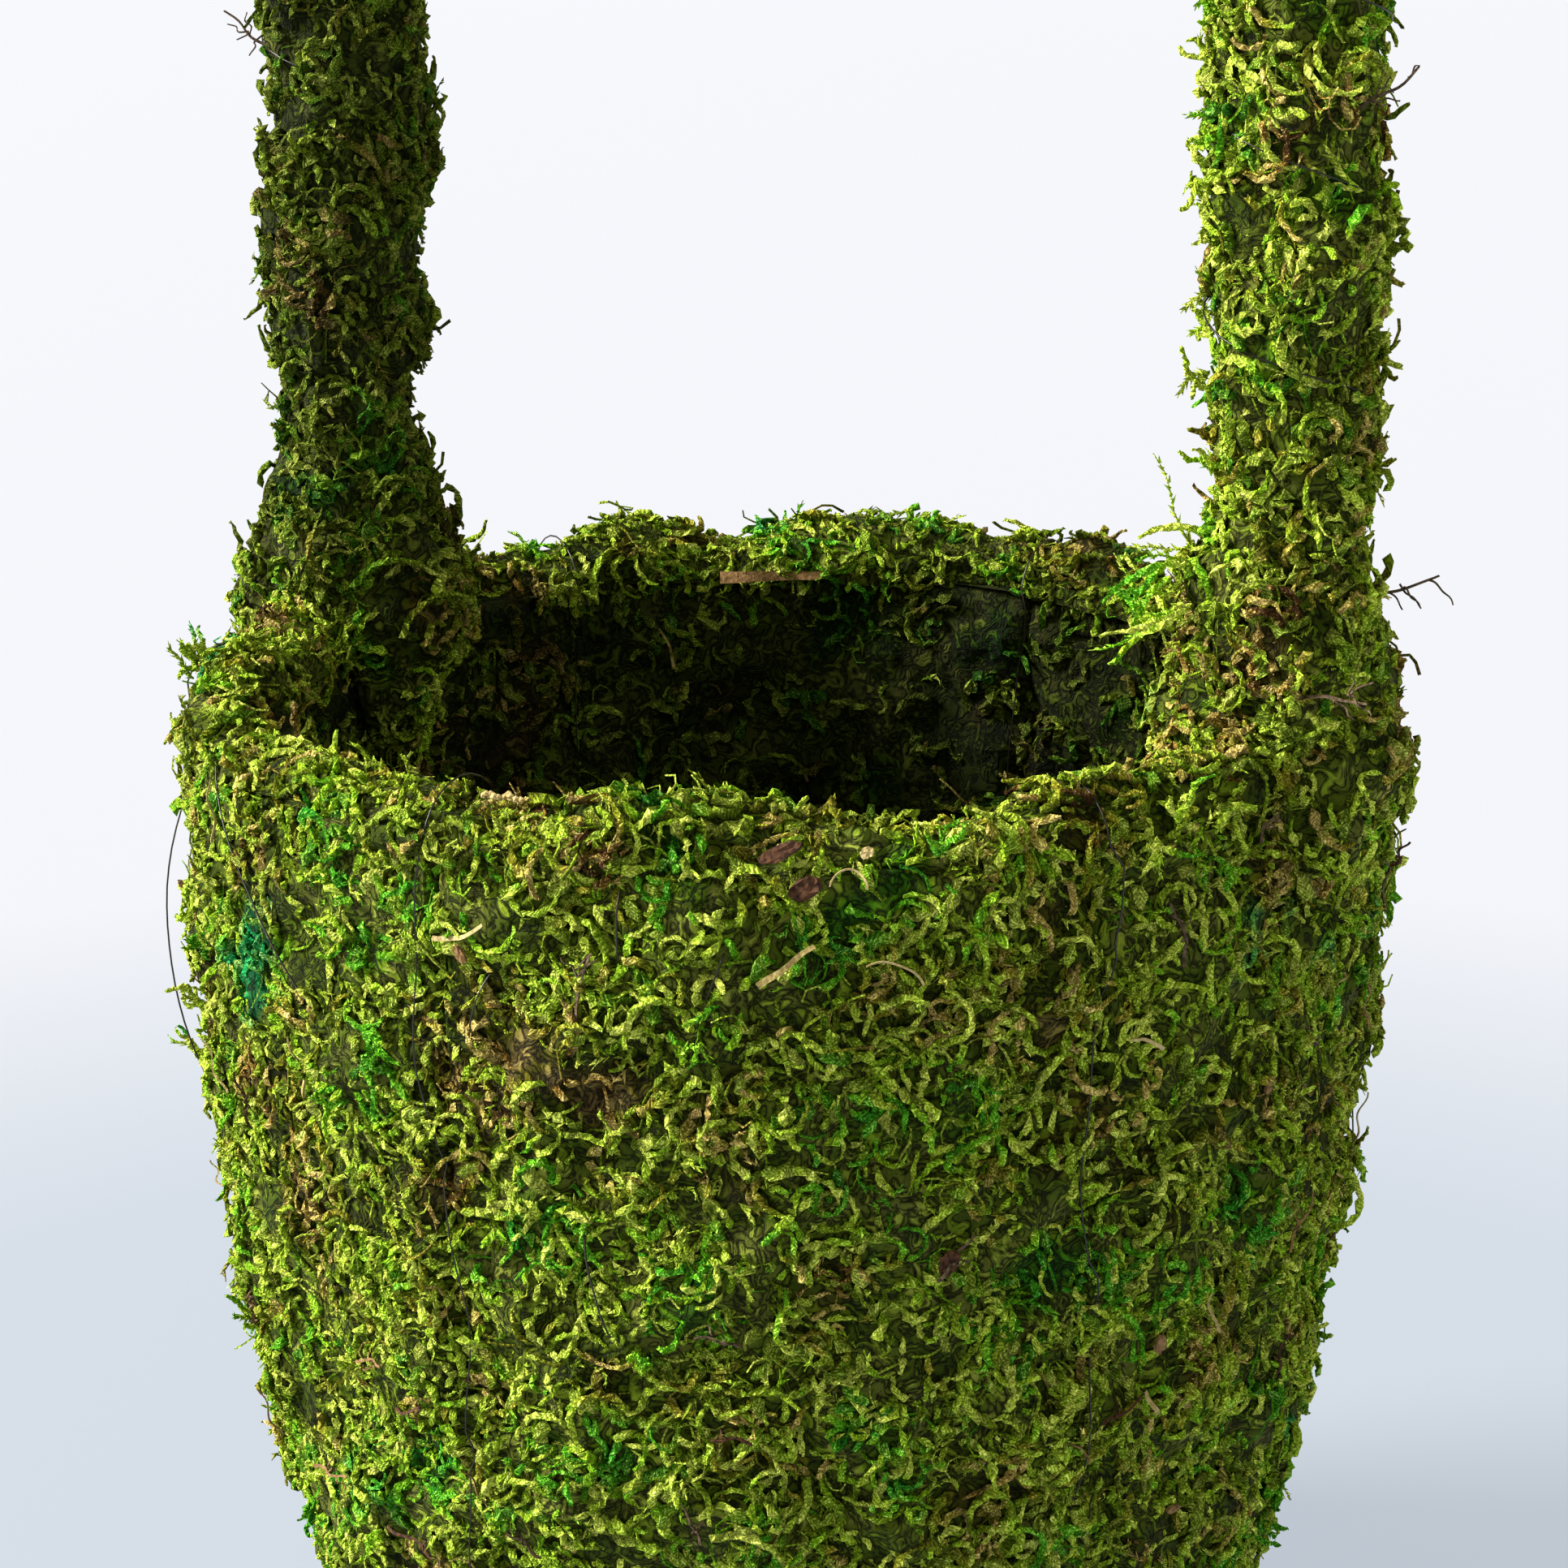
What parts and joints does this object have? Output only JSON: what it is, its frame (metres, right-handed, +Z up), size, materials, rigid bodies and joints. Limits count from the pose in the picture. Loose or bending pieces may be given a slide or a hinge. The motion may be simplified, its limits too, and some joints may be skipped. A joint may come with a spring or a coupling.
{
  "type": "hanging basket",
  "caption": "Round moss-covered hanging basket with a rolled rim, a moss-lined bowl for plants and a tall fixed hoop handle on a hidden welded wire frame.",
  "frame": {"origin": "middle of the flat base, on the surface that the basket stands on", "axes": "+Z up through the mouth to the handle's crown; the handle's legs stand at +X and -X; +Y across the handle"},
  "size_m": [0.238, 0.215, 0.4397],
  "materials": {
    "frame_wire": "dark green dip-coated steel wire",
    "handle_wire": "dark green dip-coated steel wire",
    "tie_wire": "dull galvanised tie wire",
    "outer_sheet_moss": "preserved sheet moss, curly olive and bright green shoots",
    "inner_sheet_moss": "preserved sheet moss, darker and flatter",
    "rim_moss": "preserved sheet moss, rolled over the rim",
    "handle_moss": "preserved sheet moss, wound round the handle",
    "binding_thread": "thin dark nylon thread"
  },
  "bodies": {
    "root": {"rim_hoop": "frame_wire", "upper_hoop": "frame_wire", "middle_hoop": "frame_wire", "lower_hoop": "frame_wire", "base_hoop": "frame_wire", "centre_ring": "frame_wire", "rib_01": "frame_wire", "rib_02": "frame_wire", "rib_03": "frame_wire", "rib_04": "frame_wire", "rib_05": "frame_wire", "rib_06": "frame_wire", "rib_07": "frame_wire", "rib_08": "frame_wire", "rib_09": "frame_wire", "rib_10": "frame_wire", "rib_11": "frame_wire", "rib_12": "frame_wire", "handle_wire_front": "handle_wire", "handle_wire_back": "handle_wire", "handle_ties": "tie_wire", "outer_moss_1": "outer_sheet_moss", "outer_moss_2": "outer_sheet_moss", "outer_moss_3": "outer_sheet_moss", "outer_moss_4": "outer_sheet_moss", "outer_moss_5": "outer_sheet_moss", "outer_moss_6": "outer_sheet_moss", "inner_moss_1": "inner_sheet_moss", "inner_moss_2": "inner_sheet_moss", "inner_moss_3": "inner_sheet_moss", "inner_moss_4": "inner_sheet_moss", "inner_moss_5": "inner_sheet_moss", "inner_moss_6": "inner_sheet_moss", "base_moss_pad": "outer_sheet_moss", "floor_moss_pad": "inner_sheet_moss", "rim_moss_front": "rim_moss", "rim_moss_back": "rim_moss", "root_moss_left": "handle_moss", "root_moss_right": "handle_moss", "leg_moss_left": "handle_moss", "leg_moss_right": "handle_moss", "shoulder_moss_left": "handle_moss", "shoulder_moss_right": "handle_moss", "crown_moss": "handle_moss", "body_thread": "binding_thread", "handle_thread": "binding_thread"}
  },
  "joints": []
}
